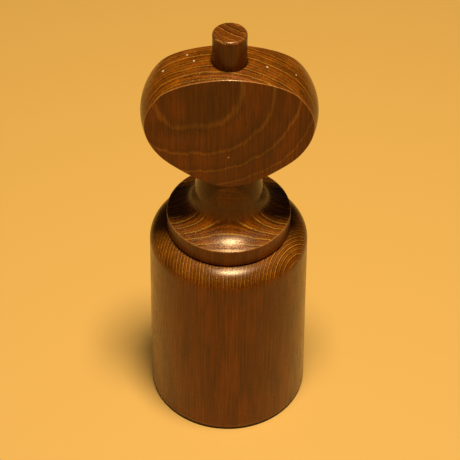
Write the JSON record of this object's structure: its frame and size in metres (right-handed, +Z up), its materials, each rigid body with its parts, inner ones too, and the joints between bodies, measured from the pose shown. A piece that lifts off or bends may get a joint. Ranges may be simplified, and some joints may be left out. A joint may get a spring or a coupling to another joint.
{
  "type": "pepper mill",
  "caption": "Turned dark wood pepper mill with a flat-sided round grip, a pull-out wooden peg over a small salt well, and a conical grinder in the foot.",
  "frame": {"origin": "centre of the foot, on the surface that the mill stands on", "axes": "+Z up along the drive shaft; the flats of the grip face -Y (front) and +Y; X runs across the grip's width"},
  "size_m": [0.0612, 0.0602, 0.1709],
  "materials": {
    "turned_wood": "satin oiled dark wood, fine open grain",
    "peg_wood": "satin oiled near-black wood",
    "bright_steel": "ground, fine turning marks",
    "plate_steel": "pressed and brushed",
    "burr_steel": "hardened, dull grey",
    "spring_steel": "drawn wire, polished",
    "screw_steel": "nickel plated",
    "brass": "turned brass, lightly aged"
  },
  "bodies": {
    "body": {"mill_body": "turned_wood", "upper_bridge": "plate_steel", "guide_bush": "brass", "grinder_ring": "burr_steel", "lower_bridge": "plate_steel", "foot_flange": "plate_steel", "foot_screw_1": "screw_steel", "foot_screw_2": "screw_steel", "foot_screw_3": "screw_steel"},
    "washer": {"drive_washer": "bright_steel"},
    "head": {"head": "turned_wood", "drive_ferrule": "brass", "head_plate": "plate_steel", "head_screw_1": "screw_steel", "head_screw_2": "screw_steel", "head_screw_3": "screw_steel", "drive_shaft": "bright_steel", "shaft_pin": "bright_steel"},
    "stopper": {"stopper_peg": "peg_wood"},
    "thrust": {"thrust_ball": "bright_steel"},
    "cone": {"grinder_cone": "burr_steel", "spring": "spring_steel"},
    "adjuster": {"adjusting_screw": "brass"}
  },
  "joints": [
    {"name": "head_turn", "type": "hinge", "parent": "body", "child": "washer", "pos_m": [0, 0, 0.083], "axis": [0, 0, 1], "continuous": true},
    {"name": "head_lift", "type": "slide", "parent": "washer", "child": "head", "axis": [0, 0, 1], "range_m": [0, 0.085]},
    {"name": "stopper_pull", "type": "slide", "parent": "head", "child": "stopper", "axis": [0, 0, 1], "range_m": [0, 0.03]},
    {"name": "adjust_lift", "type": "slide", "parent": "body", "child": "thrust", "axis": [0, 0, 1], "range_m": [0, 0.000875], "deforming": ["spring"]},
    {"name": "adjust_turn", "type": "hinge", "parent": "thrust", "child": "adjuster", "pos_m": [0, 0, 0.005], "axis": [0, 0, 1], "range_deg": [0, 450]},
    {"name": "cone_turn", "type": "hinge", "parent": "thrust", "child": "cone", "pos_m": [0, 0, 0.02], "axis": [0, 0, 1], "continuous": true}
  ],
  "couplings": [
    {"joint": "cone_turn", "follows": "head_turn", "ratio": 1},
    {"joint": "adjust_turn", "follows": "adjust_lift", "rad_per_m": 8976}
  ]
}
